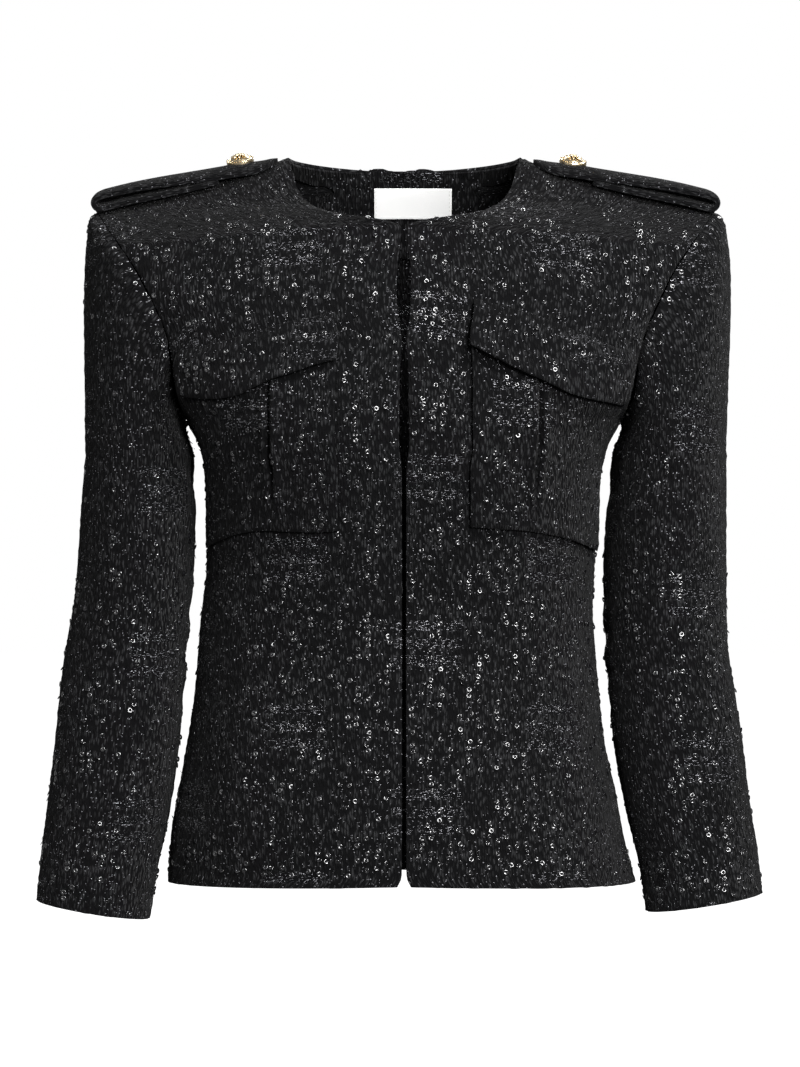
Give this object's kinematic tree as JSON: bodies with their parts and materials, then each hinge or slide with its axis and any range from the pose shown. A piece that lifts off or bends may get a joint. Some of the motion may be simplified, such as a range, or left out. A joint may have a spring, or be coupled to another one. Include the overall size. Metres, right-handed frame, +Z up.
{
  "type": "tweed jacket",
  "caption": "Cropped collarless jacket in sequinned black tweed, worn shape, with flapped chest pockets and buttoned shoulder straps.",
  "frame": {"origin": "midway between the two side-neck points, where the wearer's neck and shoulders carry the jacket", "axes": "+Z up along the worn jacket, -Y towards the front, +X towards the wearer's left arm"},
  "size_m": [0.547, 0.244, 0.5791],
  "materials": {
    "tweed_body": "black tape-yarn tweed with fine metallic glitter and black sequins",
    "tweed_sleeve": "the same sequinned black tweed",
    "tweed_pocket": "the same sequinned black tweed",
    "tweed_strap": "the same tweed, with fewer sequins",
    "gold_button": "polished gold-coloured metal with a plain raised rosette and rope border",
    "white_label": "bare white satin tape"
  },
  "bodies": {
    "root": {"back": "tweed_body", "front_left": "tweed_body", "front_right": "tweed_body", "sleeve_left": "tweed_sleeve", "sleeve_right": "tweed_sleeve", "pocket_left": "tweed_pocket", "pocket_right": "tweed_pocket", "pocket_flap_left": "tweed_pocket", "pocket_flap_right": "tweed_pocket", "epaulette_left": "tweed_strap", "epaulette_right": "tweed_strap", "epaulette_button_left": "gold_button", "epaulette_button_right": "gold_button", "neck_facing_back": "tweed_body", "neck_label": "white_label"}
  },
  "joints": []
}
